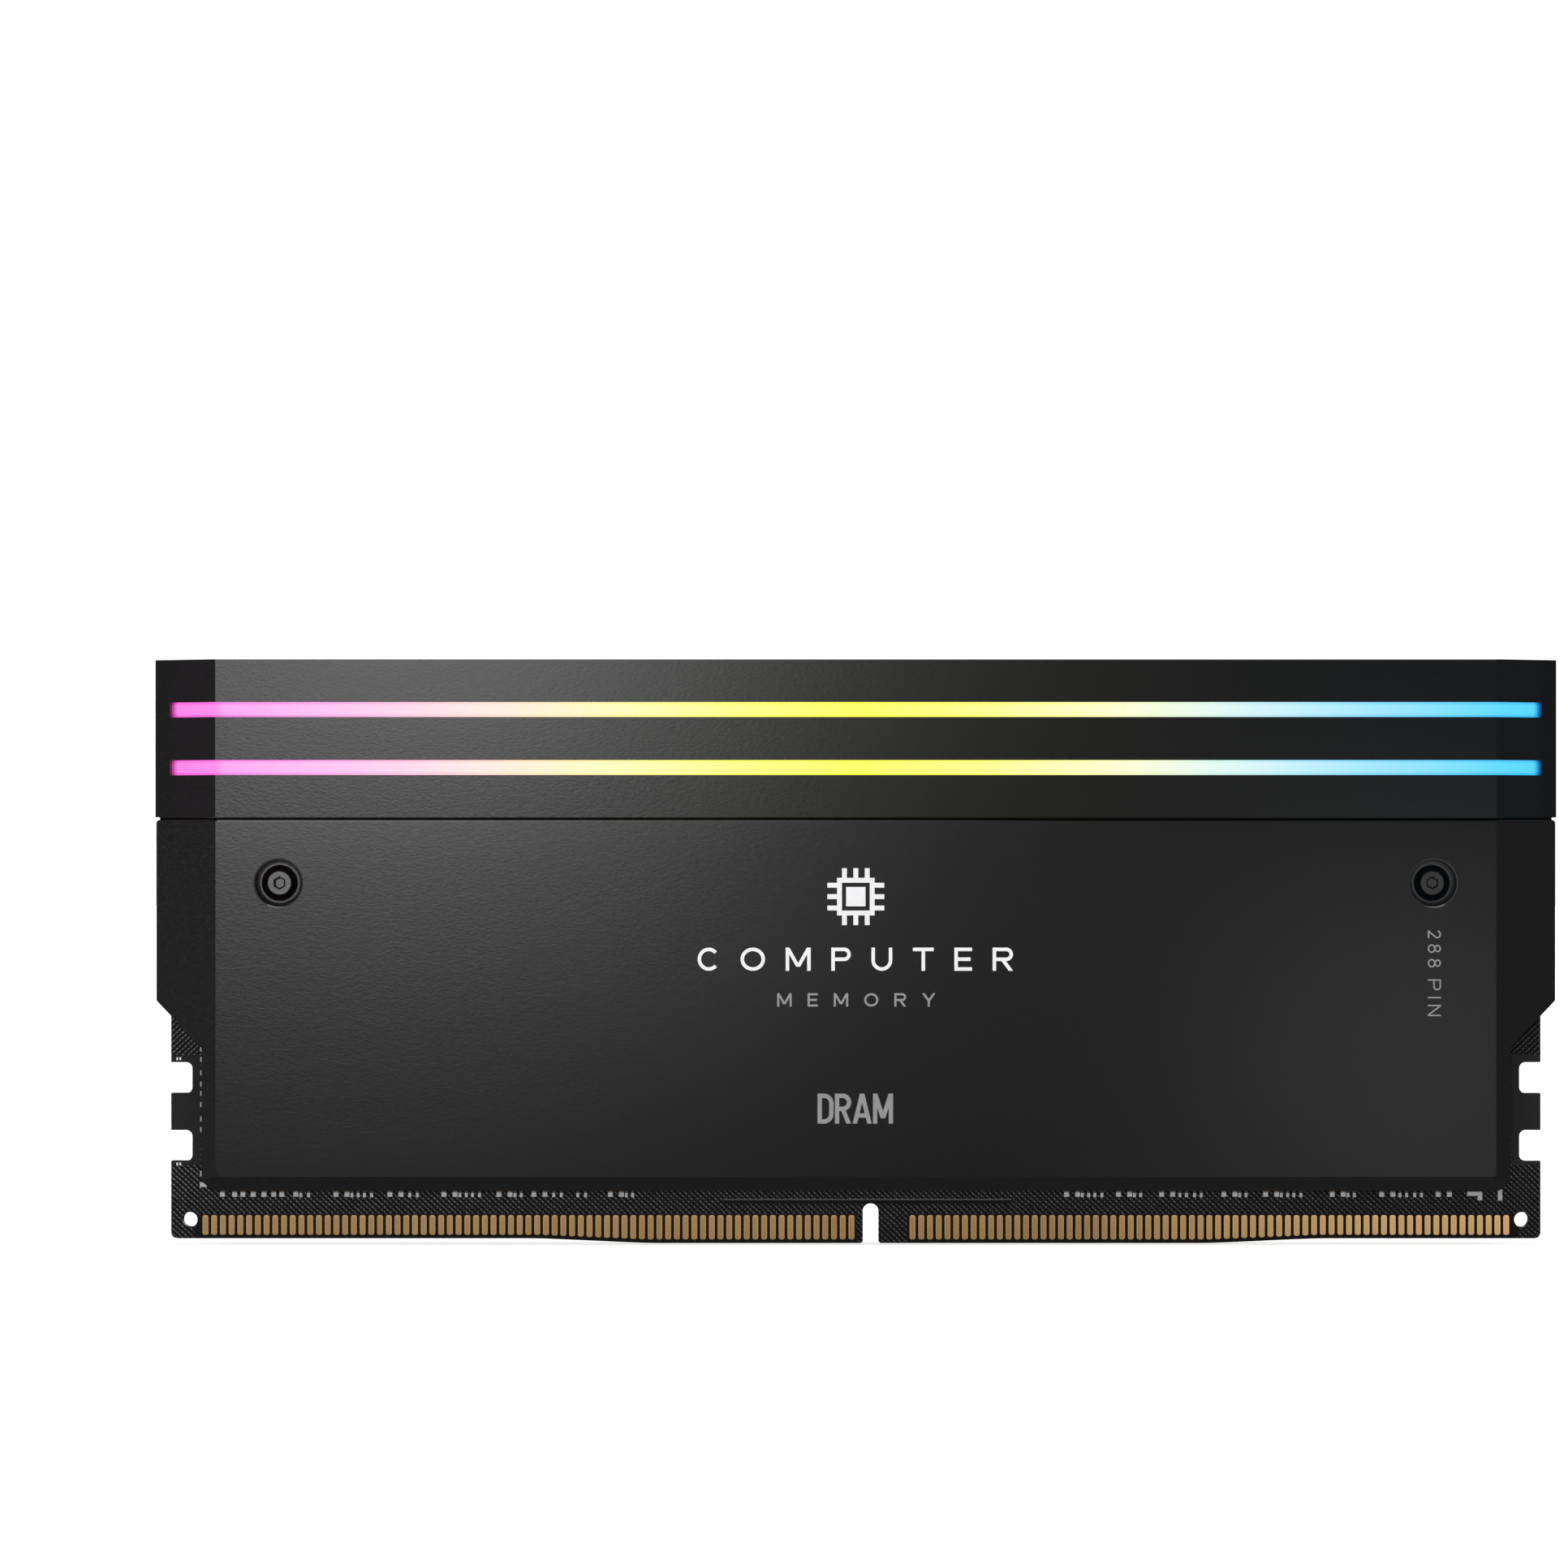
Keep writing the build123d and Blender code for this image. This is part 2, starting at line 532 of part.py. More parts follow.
def lower_edge_parts(side):
    """Bodies and metal ends of the wide and narrow parts along the plate's lower edge."""
    wide_bodies, narrow_bodies, ends = [], [], []
    for first_x, (wide_offsets, narrow_offsets) in LOWER_EDGE:
        for offset in wide_offsets:
            body, tips = upright_part(side, first_x + offset, WIDE_BOTTOM, WIDE_PART)
            wide_bodies.append(body)
            ends += tips
        for offset in narrow_offsets:
            body, tips = upright_part(side, first_x + offset, NARROW_BOTTOM, NARROW_PART)
            narrow_bodies.append(body)
            ends += tips
    return wide_bodies, narrow_bodies, ends


def side_parts():
    """Parts that lie across the plate's left edge: their bodies and metal ends."""
    width, height, length, end = WIDE_PART
    middle_x = SIDE_PART_END_X + length / 2
    end_offset = (length - end) / 2
    bodies, ends = [], []
    for z in SIDE_PART_HEIGHTS:
        bodies.append(part_on_board(FRONT, middle_x, z, (length - 2 * end, height, width)))
        for x in (middle_x - end_offset, middle_x + end_offset):
            ends.append(part_on_board(FRONT, x, z, (end, height, width)))
    (x, z), size = CORNER_PART
    ends.append(part_on_board(FRONT, x, z, size))
    return bodies, ends


def probe_pads():
    """Two bare tinned pads beside the right end of the plate's lower edge."""
    y = (-BOARD_FACE, -BOARD_FACE - PROBE_PAD_THICKNESS)
    bar, leg, tall = [block(x, y, z) for x, z in (HOOK_PAD_BAR, HOOK_PAD_LEG, TALL_PAD)]
    return [bar + leg, tall]


def light_positions():
    return [(i - (LIGHT_COUNT - 1) / 2) * LIGHT_PITCH for i in range(LIGHT_COUNT)]


def light(side, x):
    """Surface-mounted light: a package with a round well, and the clear lens that fills it."""
    package = part_on_board(side, x, LIGHT_Z, LIGHT_SIZE)
    top = side * (BOARD_FACE + LIGHT_SIZE[1])
    lens = rod(x, LIGHT_Z, LIGHT_LENS_D, top, top - side * LIGHT_LENS_DEPTH)
    return package - lens, lens


# --- write every sub-part -----------------------------------------------------------------------

os.makedirs("parts", exist_ok=True)

save(circuit_board(), "circuit_board")
save(front_plate(), "heat_spreader_front")
save(rear_plate(), "heat_spreader_rear")
save(top_bar(), "top_bar")
save(power_chip_pad(), "power_chip_pad")
save(chip(FRONT, *POWER_CHIP[0], POWER_CHIP[1]), "power_management_chip")
save(chip(FRONT, *HUB_CHIP[0], HUB_CHIP[1]), "configuration_hub_chip")
save(chip(FRONT, *LIGHT_CHIP[0], LIGHT_CHIP[1]), "light_controller_chip")
save([chip(FRONT, x, z, COIL_SIZE) for x, z in COIL_SITES], "power_coils")
save([chip(FRONT, x, z, BULK_SIZE) for x, z in BULK_SITES], "bulk_capacitors")
save(probe_pads(), "probe_pads")

for end, end_name in ((-1, "left"), (1, "right")):
    save(screw(end * SCREW_X), "screw_" + end_name)
    save(threaded_insert(end * SCREW_X), "threaded_insert_" + end_name)

for side, side_name in ((FRONT, "front"), (REAR, "rear")):
    save([contact(side, x) for x in contact_positions()], "contacts_" + side_name)
    save(light_guide(side), "light_guide_" + side_name)
    for number, x in enumerate(chip_positions(), 1):
        save(chip(side, x, CHIP_Z, CHIP_SIZE), "memory_chip_%s_%d" % (side_name, number))
    for end, end_name in ((-1, "left"), (1, "right")):
        save(thermal_pad(side, end), "thermal_pad_%s_%s" % (side_name, end_name))
    lights = [light(side, x) for x in light_positions()]
    save([package for package, lens in lights], "light_packages_" + side_name)
    save([lens for package, lens in lights], "light_lenses_" + side_name)
    capacitors, resistors, metal_ends = lower_edge_parts(side)
    save(capacitors, "capacitor_bodies_" + side_name)
    save(resistors, "resistor_bodies_" + side_name)
    save(metal_ends, "metal_ends_" + side_name)

side_bodies, side_ends = side_parts()
save(side_bodies, "side_capacitor_bodies")
save(side_ends, "side_metal_ends")
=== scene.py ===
import math

import bmesh
import bpy
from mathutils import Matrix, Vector
from mathutils.geometry import delaunay_2d_cdt


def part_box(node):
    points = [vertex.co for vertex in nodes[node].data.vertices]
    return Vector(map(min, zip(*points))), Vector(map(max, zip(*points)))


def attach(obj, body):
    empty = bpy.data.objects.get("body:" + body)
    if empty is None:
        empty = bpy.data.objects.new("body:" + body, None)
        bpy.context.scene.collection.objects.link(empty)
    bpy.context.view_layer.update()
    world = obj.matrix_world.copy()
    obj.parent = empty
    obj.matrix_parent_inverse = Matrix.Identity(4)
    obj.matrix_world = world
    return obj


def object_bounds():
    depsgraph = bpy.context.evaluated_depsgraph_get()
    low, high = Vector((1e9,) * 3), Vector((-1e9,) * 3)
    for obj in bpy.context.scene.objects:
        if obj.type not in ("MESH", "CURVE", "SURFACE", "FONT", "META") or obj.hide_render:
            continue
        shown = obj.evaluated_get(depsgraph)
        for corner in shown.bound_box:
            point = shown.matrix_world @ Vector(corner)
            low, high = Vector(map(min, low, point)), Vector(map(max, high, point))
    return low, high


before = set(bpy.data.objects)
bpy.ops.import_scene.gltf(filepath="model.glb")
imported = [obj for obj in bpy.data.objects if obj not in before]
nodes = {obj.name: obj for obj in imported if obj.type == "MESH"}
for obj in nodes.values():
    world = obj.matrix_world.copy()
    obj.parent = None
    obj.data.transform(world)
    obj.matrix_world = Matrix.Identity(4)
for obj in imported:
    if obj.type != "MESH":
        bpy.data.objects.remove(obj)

cad_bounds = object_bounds()

MM = 0.001
FAR_AWAY = 1000.0
FRONT, REAR = -1, 1

# ---------------------------------------------------------------------------
# Places on the module, in millimetres
# ---------------------------------------------------------------------------


def box_mm(node):
    """Lowest and highest corner of a CAD node in millimetres."""
    low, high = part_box(node)
    return Vector(low) / MM, Vector(high) / MM


board_face = box_mm("circuit_board")[0].y
plate_low, plate_high = box_mm("heat_spreader_front")
plate_face, plate_top = plate_low.y, plate_high.z
guide_end = box_mm("light_guide_front")[1].x

SCREW_SITES = ((-55.86, 35.07), (55.86, 35.07))
SEAM_Z = 41.37                          # a height inside the seam between the plates and the bar
SLOT_BOTTOMS = (45.51, 51.12)
SLOT_HEIGHT = 1.46
BAND_BOTTOM, BAND_TOP = 3.8, 4.2        # smooth copper band over the key notch
BAND_SPAN = (-12.9, 15.1)
NOTCH_X, NOTCH_REACH = 2.55, 2.5        # the key notch and the bare board on each side of it
LATCH_ZONE = (7.7, 18.2)                # heights of the smooth board round the latch notches
CONTACT_X = -0.425
CONTACT_PITCH = 0.85
CONTACT_TOP = 2.72


# ---------------------------------------------------------------------------
# Node graphs
# ---------------------------------------------------------------------------


def linear(red, green, blue):
    """Colour from 0 to 255 display values to scene-linear values."""
    values = []
    for value in (red, green, blue):
        part = value / 255
        values.append(part / 12.92 if part <= 0.04045 else ((part + 0.055) / 1.055) ** 2.4)
    return (*values, 1.0)


class Graph:
    """A node tree and short calls to wire it. An input may be a socket or a plain value."""

    def __init__(self, owner):
        """Works on the world given, or on a new material of the given name."""
        if isinstance(owner, str):
            owner = self.material = bpy.data.materials.new(owner)
            owner.use_nodes = True
            self.shader = owner.node_tree.nodes["Principled BSDF"]
        self.tree = owner.node_tree

    def feed(self, socket, value):
        """Links a socket to the input, or sets the input to a plain value."""
        if isinstance(value, bpy.types.NodeSocket):
            self.tree.links.new(value, socket)
        else:
            socket.default_value = value

    def node(self, kind, inputs=(), **settings):
        """Adds a node, with its inputs by name or number and its settings."""
        made = self.tree.nodes.new("ShaderNode" + kind)
        for name, value in settings.items():
            setattr(made, name, value)
        for key, value in dict(inputs).items():
            self.feed(made.inputs[key], value)
        return made

    def math(self, operation, *values):
        made = self.node("Math", operation=operation)
        for socket, value in zip(made.inputs, values):
            self.feed(socket, value)
        return made.outputs[0]

    def set(self, **inputs):
        """Sets or wires the shader's inputs, with _ for a space in their names."""
        for name, value in inputs.items():
            self.feed(self.shader.inputs[name.replace("_", " ")], value)

    def place(self):
        """The point's place in millimetres in the module's frame."""
        coordinates = self.node("TexCoord").outputs["Object"]
        return self.node("VectorMath", {0: coordinates, 3: 1 / MM}, operation="SCALE").outputs[0]

    def split(self, vector):
        """The vector's x, y and z."""
        return self.node("SeparateXYZ", {0: vector}).outputs

    def stretch(self, vector, x, y, z):
        """The vector with each axis multiplied by its own factor."""
        return self.node("VectorMath", {0: vector, 1: (x, y, z)}, operation="MULTIPLY").outputs[0]

    def noise(self, vector, scale, detail=3.0, roughness=0.5):
        inputs = {"Vector": vector, "Scale": scale, "Detail": detail, "Roughness": roughness}
        return self.node("TexNoise", inputs).outputs["Fac"]

    def mix(self, factor, first, second):
        made = self.node("Mix", data_type="RGBA")
        self.feed(made.inputs[0], factor)
        self.feed(made.inputs[6], first)
        self.feed(made.inputs[7], second)
        return made.outputs[2]

    def spread(self, value, low, high, to_low=0.0, to_high=1.0, smooth=False):
        """Maps low..high to to_low..to_high, clamped."""
        kind = "SMOOTHSTEP" if smooth else "LINEAR"
        inputs = {0: value, 1: low, 2: high, 3: to_low, 4: to_high}
        return self.node("MapRange", inputs, interpolation_type=kind).outputs[0]

    def within(self, value, low, high, soft):
        """1 between low and high, falling to 0 over soft on each side."""
        rise = self.spread(value, low - soft, low, smooth=True)
        fall = self.spread(value, high, high + soft, 1.0, 0.0, smooth=True)
        return self.math("MULTIPLY", rise, fall)

    def total(self, *values):
        result = values[0]
        for value in values[1:]:
            result = self.math("ADD", result, value)
        return result

    def product(self, *values):
        result = values[0]
        for value in values[1:]:
            result = self.math("MULTIPLY", result, value)
        return result

    def from_screw(self, x, z):
        """Distance across the front from the nearer screw's axis."""
        nearest = FAR_AWAY
        for screw_x, screw_z in SCREW_SITES:
            dx = self.math("SUBTRACT", x, screw_x)
            dz = self.math("SUBTRACT", z, screw_z)
            distance = self.math("SQRT", self.total(self.product(dx, dx), self.product(dz, dz)))
            nearest = self.math("MINIMUM", nearest, distance)
        return nearest

    def bump(self, height, scale=1.0):
        """Bumps whose height in millimetres is the given value times the scale."""
        return self.node("Bump", {"Height": height, "Distance": scale * MM}).outputs[0]

    def glow(self, x):
        """Colour of the light guides' glow at a place along the module."""
        ramp = self.node("ValToRGB", {0: self.spread(x, -guide_end, guide_end)})
        stops = ramp.color_ramp.elements
        while len(stops) < len(GLOW):
            stops.new(0.5)
        for stop, (at, colour) in zip(stops, GLOW):
            stop.position = (at + guide_end) / (2 * guide_end)
            stop.color = linear(*colour)
        return ramp.outputs[0]


def paint(material, *names):
    """Gives the material to the CAD nodes of these names, in place of their own."""
    for name in names:
        slots = nodes[name].data.materials
        slots.clear()
        slots.append(material)


# ---------------------------------------------------------------------------
# Materials. Sizes are in millimetres, and a pair is a range unless it says otherwise
# ---------------------------------------------------------------------------

# Anodised plates and bar
GRAIN_STRETCH = (0.65, 1.0, 1.3)
GRAIN_SCALE = 3.6
GRAIN_HEIGHT = 0.0060
GRAIN_CONTRAST = 1.9
COARSE_SPAN = (-66.0, 40.0)             # the grain is coarser at the left than at the right
COARSE_HEIGHTS = (5.0, 45.0)            # and coarser at the top than at the bottom
BAR_ROLL = (16.0, 0.0056)               # height over which a face rolls off, and its last slope
PLATE_ROLL = (4.2, 0.004)
BORE_RADIUS = 2.44                      # painted reflection on the cut walls round the screws, lighter than the face
BORE_DEPTHS = (-3.70, -2.20)
BORE_RIM = (-3.6, -3.4)                 # depths over which the painted reflection fades below the rim
BORE_FLOOR = (-3.0, -2.7)               # and returns towards the bottom
BORE_REFLECTION_TONE = 0.032
LIP_HIGHLIGHT_HEIGHTS = (plate_top - 0.15, plate_top - 0.03)    # painted highlight on the plate's top edge at the seam
LIP_HIGHLIGHT_SPAN = (-61.8, 20.0)                # the painted highlight is brightest at the left and fades out
LIP_HIGHLIGHT_TONE = 0.155

# Circuit board
WEAVE_PITCH_X = 0.57
WEAVE_PITCH_Z = 0.54
WEAVE_TURN = 16.0                       # the dashes lean the other way above this height
# Mask colour, and the pale colour mixed in for the painted highlights on the woven glass's knots and,
# faintly, for the smooth copper by the latch notches
MASK_DARK = (0.0034, 0.0034, 0.0036, 1)
MASK_PALE_AND_HIGHLIGHT = (0.23, 0.23, 0.235, 1)
BARE_BOARD = (0.005, 0.0025, 0.0015, 1)

# Contacts
# Gold tones, and the colour added for the painted highlights on the rims
GOLD_DARK = (0.375, 0.217, 0.062, 1)
GOLD_LIGHT = (0.87, 0.53, 0.19, 1)
GOLD_RIM_HIGHLIGHT = (1.0, 0.85, 0.75, 1)

# Screws and inserts
RING_PITCH = 0.12

# Glow along the light guides: x and display colour
GLOW = (
    (-66.8, (190, 50, 150)), (-66.2, (205, 72, 165)), (-66.1, (252, 126, 234)), (-61.7, (252, 138, 231)),
    (-61.5, (252, 158, 238)), (-48.0, (254, 198, 236)), (-36.0, (255, 230, 222)), (-24.0, (255, 246, 186)),
    (-12.0, (255, 254, 136)), (0.0, (254, 255, 88)), (12.0, (255, 254, 136)), (24.0, (254, 252, 200)),
    (36.0, (220, 244, 241)), (48.0, (166, 229, 255)), (61.5, (90, 216, 254)), (66.1, (74, 212, 250)),
    (66.2, (18, 146, 208)), (66.8, (12, 120, 190)),
)


def grey(tone):
    """Neutral colour of a scene-linear tone."""
    return (tone, tone, tone, 1)


def anodised_black(name, dark, light, specular, seam_shade=0.0, painted_glow_share=0.0):
    """Bead-blasted, black anodised aluminium with a fine sideways grain, a painted highlight along the
    plate's top edge at the seam and a painted reflection on the walls round the screws. A seam setting of 1
    paints shade on what lies below the bar's faces, inside the seam: black colour and full roughness. A glow
    share above 0 adds a painted glow: that much of the light guides' colour as emission, standing in for
    their light spilt on the surface beside them."""
    g = Graph(name)
    place = g.place()
    x, y, z = g.split(place)
    on_bar = g.math("GREATER_THAN", z, SEAM_Z)
    below_bar = g.math("SUBTRACT", 1.0, on_bar)

    down_bar = g.spread(z, SEAM_Z, SEAM_Z + BAR_ROLL[0], BAR_ROLL[0], 0.0)
    up_plate = g.spread(z, SEAM_Z - PLATE_ROLL[0], SEAM_Z, 0.0, PLATE_ROLL[0])
    bar_roll = g.product(down_bar, down_bar, BAR_ROLL[1] / BAR_ROLL[0] / 2, on_bar)
    plate_roll = g.product(up_plate, up_plate, PLATE_ROLL[1] / PLATE_ROLL[0] / 2, below_bar)
    grain = g.noise(g.stretch(place, *GRAIN_STRETCH), GRAIN_SCALE, 2.0, 0.5)
    coarser = g.product(g.spread(x, *COARSE_SPAN, 1.0, 0.2), g.spread(z, *COARSE_HEIGHTS, 0.4, 1.0))
    raised = g.product(grain, coarser, GRAIN_HEIGHT)
    height = g.math("SUBTRACT", raised, g.total(bar_roll, plate_roll))

    tone = g.total(0.5, g.product(g.math("SUBTRACT", grain, 0.5), coarser, GRAIN_CONTRAST))
    face = g.mix(g.spread(tone, 0.0, 1.0), grey(dark), grey(light))
    # Painted reflection on the walls of the bores round the screws, strongest near the rim and towards the
    # bottom.
    near_screw = g.math("LESS_THAN", g.from_screw(x, z), BORE_RADIUS)
    in_bore = g.product(near_screw, g.within(y, *BORE_DEPTHS, 0.02))
    bore_reflection_depth = g.math(
        "MAXIMUM", g.spread(y, *BORE_RIM, 1.0, 0.15), g.spread(y, *BORE_FLOOR, 0.15, 1.0)
    )
    with_bore_reflection = g.mix(g.product(in_bore, bore_reflection_depth), face, grey(BORE_REFLECTION_TONE))
    # Painted highlight along the plate's top edge just below the seam, brightest at the left.
    on_lip_highlight = g.product(g.within(z, *LIP_HIGHLIGHT_HEIGHTS, 0.03), g.math("GREATER_THAN", x, LIP_HIGHLIGHT_SPAN[0]))
    lip_highlight = g.product(on_lip_highlight, g.spread(x, *LIP_HIGHLIGHT_SPAN, 1.0, 0.0))
    # Painted shade inside the seam below the bar's faces: black colour, with full roughness.
    in_seam_shade = g.product(below_bar, seam_shade)
    cloud = g.noise(place, 0.035, 2.0)
    g.set(
        Base_Color=g.mix(in_seam_shade, g.mix(lip_highlight, with_bore_reflection, grey(LIP_HIGHLIGHT_TONE)), grey(0.0)),
        Roughness=g.math("MAXIMUM", g.spread(cloud, 0.3, 0.7, 0.207, 0.217), in_seam_shade),
        Metallic=0.0,
        Specular_IOR_Level=specular,
        Normal=g.bump(height),
    )
    # Painted glow: emission in the guides' colours on the metal beside them, standing in for their spilt
    # light.
    if painted_glow_share:
        g.set(Emission_Color=g.glow(x), Emission_Strength=painted_glow_share)
    return g.material


def board_mask():
    """Black solder mask over woven glass whose knots catch the light as short, slanting dashes, painted as
    pale highlights and raised as bumps; the highlights fade towards the right, near the bottom and in the
    ear at the upper right. It is smooth where copper lies under it, with a painted highlight along the
    copper band's upper edge, and brown between the contacts."""
    g = Graph("board_mask")
    place = g.place()
    x, _, z = g.split(place)
    lean = g.spread(g.math("GREATER_THAN", z, WEAVE_TURN), 0.0, 1.0, 1.0, -1.0)
    wobble = g.product(g.math("SUBTRACT", g.noise(place, 0.7, 2.0), 0.5), 0.16)
    column = g.math("DIVIDE", g.total(x, wobble), WEAVE_PITCH_X)
    row = g.product(g.math("DIVIDE", g.total(z, wobble), WEAVE_PITCH_Z), lean)
    along = g.math("SUBTRACT", column, row)
    across = g.math("ADD", column, row)
    knot_along = g.math("COSINE", g.product(along, math.pi * 2))
    knot_across = g.math("COSINE", g.product(across, math.pi * 2))
    dash = g.product(
        g.spread(knot_along, -0.4, 0.9, smooth=True), g.spread(knot_across, 0.4, 1.0, smooth=True)
    )
    thread = g.product(g.spread(knot_across, 0.2, 1.0), 0.22)
    uneven = g.spread(g.noise(place, 2.4, 2.0), 0.3, 0.7, 0.45, 1.15)

    side = g.math("ABSOLUTE", x)
    latch_zone = g.product(g.within(z, *LATCH_ZONE, 0.25), g.spread(side, 63.6, 63.9))
    across_band = g.within(x, *BAND_SPAN, 0.05)
    band = g.product(g.within(z, BAND_BOTTOM, BAND_TOP, 0.04), across_band)
    woven = g.math("SUBTRACT", 1.0, g.math("MAXIMUM", latch_zone, band))
    # The painted highlights are fainter in the ear at the upper right, towards the right and near the
    # bottom.
    ear = g.product(g.spread(z, WEAVE_TURN, WEAVE_TURN + 2.0), g.spread(x, -60.0, 60.0, 0.0, 0.4))
    rightward, downward = g.spread(x, -66.0, 66.0, 1.0, 0.6), g.spread(z, 4.6, 6.0, 0.75, 1.0)
    highlight_fade = g.product(rightward, downward, g.math("SUBTRACT", 1.0, ear))
    # Knot dashes and threads, painted as highlights in the colour and raised as bumps.
    weave_and_highlight = g.product(g.math("MAXIMUM", dash, thread), uneven, highlight_fade, woven)

    # Painted highlight along the upper edge of the copper band.
    band_edge_highlight = g.product(g.within(z, BAND_TOP, BAND_TOP + 0.07, 0.04), across_band, 0.3)
    light = g.math("MAXIMUM", g.math("MAXIMUM", weave_and_highlight, band_edge_highlight), g.product(latch_zone, 0.055))
    mask = g.mix(light, MASK_DARK, MASK_PALE_AND_HIGHLIGHT)
    below_tops = g.spread(z, CONTACT_TOP, CONTACT_TOP + 0.15, 1.0, 0.0)
    within_ends = g.spread(side, 64.3, 64.6, 1.0, 0.0)
    at_notch = g.math("LESS_THAN", g.math("ABSOLUTE", g.math("SUBTRACT", x, NOTCH_X)), NOTCH_REACH)
    bare = g.product(below_tops, within_ends, g.math("SUBTRACT", 1.0, at_notch))
    g.set(
        Base_Color=g.mix(g.product(bare, 0.9), mask, BARE_BOARD),
        Roughness=g.spread(weave_and_highlight, 0.0, 1.0, 0.5, 0.4),
        Specular_IOR_Level=0.12,
        Normal=g.bump(weave_and_highlight, 0.004),
    )
    return g.material


def contact_gold():
    """Satin gold plating with painted highlights on its rims, each contact a slightly different tone. A
    painted reflection lightens it towards the right."""
    g = Graph("contact_gold")
    place = g.place()
    x, _, z = g.split(place)
    count = g.math("DIVIDE", g.math("SUBTRACT", x, CONTACT_X - CONTACT_PITCH / 2), CONTACT_PITCH)
    number = g.math("FLOOR", count)
    tone = g.node("TexWhiteNoise", {1: number}, noise_dimensions="1D").outputs["Value"]
    streak = g.noise(g.stretch(place, 8.0, 1.0, 0.8), 1.6, 3.0)
    mixed = g.total(g.product(tone, 0.65), g.product(streak, 0.35))
    from_middle = g.product(g.math("SUBTRACT", g.math("FRACT", count), 0.5), CONTACT_PITCH)
    # Painted highlights on the contacts' sides and tops.
    side_rim_highlight = g.spread(g.math("ABSOLUTE", from_middle), 0.17, 0.27)
    rim = g.math("MAXIMUM", side_rim_highlight, g.spread(z, CONTACT_TOP - 0.25, CONTACT_TOP - 0.05))
    # Painted reflection that lightens the gold towards the right.
    painted_reflection = g.spread(x, 22.0, 52.0, 0.0, 0.8)
    body = g.mix(g.total(g.product(mixed, 0.15), painted_reflection), GOLD_DARK, GOLD_LIGHT)
    with_rim_highlights = g.mix(g.product(rim, 0.11), body, GOLD_RIM_HIGHLIGHT)
    with_rim_highlights.node.blend_type = "ADD"
    g.set(
        Base_Color=with_rim_highlights,
        Metallic=0.4,
        Roughness=g.spread(streak, 0.25, 0.75, 0.34, 0.44),
        Normal=g.bump(streak, 0.0008),
    )
    return g.material


def glowing_guide():
    """Milky light guide whose glow runs from pink through yellow to blue."""
    g = Graph("glowing_guide")
    place = g.place()
    x, _, z = g.split(place)
    glow = g.glow(x)
    cells = g.noise(g.stretch(place, 0.25, 1.0, 1.0), 0.8, 2.0)
    rim = 0.0
    for bottom in SLOT_BOTTOMS:
        middle = bottom + SLOT_HEIGHT / 2
        away = g.math("ABSOLUTE", g.math("SUBTRACT", z, middle))
        near_edge = g.within(away, SLOT_HEIGHT / 2 - 0.12, SLOT_HEIGHT / 2 + 0.2, 0.22)
        rim = g.math("MAXIMUM", rim, near_edge)
    deeper = g.mix(1.0, glow, glow)
    deeper.node.blend_type = "MULTIPLY"
    g.set(
        Base_Color=g.mix(cells, grey(0.03), grey(0.05)),
        Roughness=0.35,
        Specular_IOR_Level=0.2,
        Emission_Color=g.mix(g.product(rim, 0.55), glow, deeper),
        Emission_Strength=1.0,
    )
    return g.material


def turned_metal(name, dark, light, roughness, metallic=1.0, specular=0.5):
    """Metal with fine turning rings about the screws' axes."""
    g = Graph(name)
    place = g.place()
    x, _, z = g.split(place)
    rings = g.math("SINE", g.product(g.from_screw(x, z), 2 * math.pi / RING_PITCH))
    grit = g.noise(place, 5.0, 3.0)
    tone = g.total(g.spread(rings, -1.0, 1.0, 0.0, 0.5), g.product(grit, 0.5))
    g.set(
        Base_Color=g.mix(tone, dark, light),
        Metallic=metallic,
        Roughness=g.spread(tone, 0.0, 1.0, roughness - 0.02, roughness + 0.02),
        Specular_IOR_Level=specular,
        Normal=g.bump(tone, 0.0003),
    )
    return g.material


def grained(name, dark, light, scale, roughness, metallic=0.0):
    """Solid material with a fine grain: moulded epoxy, fired ceramic, solder, rubber or paint."""
    g = Graph(name)
    place = g.place()
    fine = g.noise(place, scale, 4.0, 0.6)
    broad = g.noise(place, scale * 0.12, 2.0)
    tone = g.total(g.product(fine, 0.6), g.product(broad, 0.4))
    g.set(
        Base_Color=g.mix(g.spread(tone, 0.25, 0.75), dark, light),
        Metallic=metallic,
        Roughness=g.spread(tone, 0.25, 0.75, roughness - 0.04, roughness + 0.06),
        Normal=g.bump(fine, 0.004),
    )
    return g.material


paint(anodised_black("anodised_plate", 0.0, 0.0090, 0.325), "heat_spreader_front", "heat_spreader_rear")
paint(anodised_black("anodised_bar", 0.0, 0.0036, 0.33, seam_shade=1.0, painted_glow_share=0.002), "top_bar")
paint(board_mask(), "circuit_board")
paint(contact_gold(), "contacts_front", "contacts_rear")
paint(glowing_guide(), "light_guide_front", "light_guide_rear")
paint(
    turned_metal("screw_black", grey(0.005), grey(0.009), roughness=0.21, metallic=0.0, specular=0.65),
    "screw_left", "screw_right",
)
paint(
    turned_metal("insert_brass", (0.5, 0.34, 0.14, 1), (0.68, 0.5, 0.24, 1), roughness=0.35),
    "threaded_insert_left", "threaded_insert_right",
)
paint(
    grained("solder_tin", (0.30, 0.30, 0.305, 1), (0.44, 0.44, 0.445, 1), 3.0, 0.4, metallic=0.2),
    "metal_ends_front", "metal_ends_rear", "side_metal_ends", "probe_pads",
)
paint(
    grained("capacitor_ceramic", (0.07, 0.045, 0.028, 1), (0.13, 0.085, 0.05, 1), 5.0, 0.5),
    "capacitor_bodies_front", "capacitor_bodies_rear", "side_capacitor_bodies", "bulk_capacitors",
)
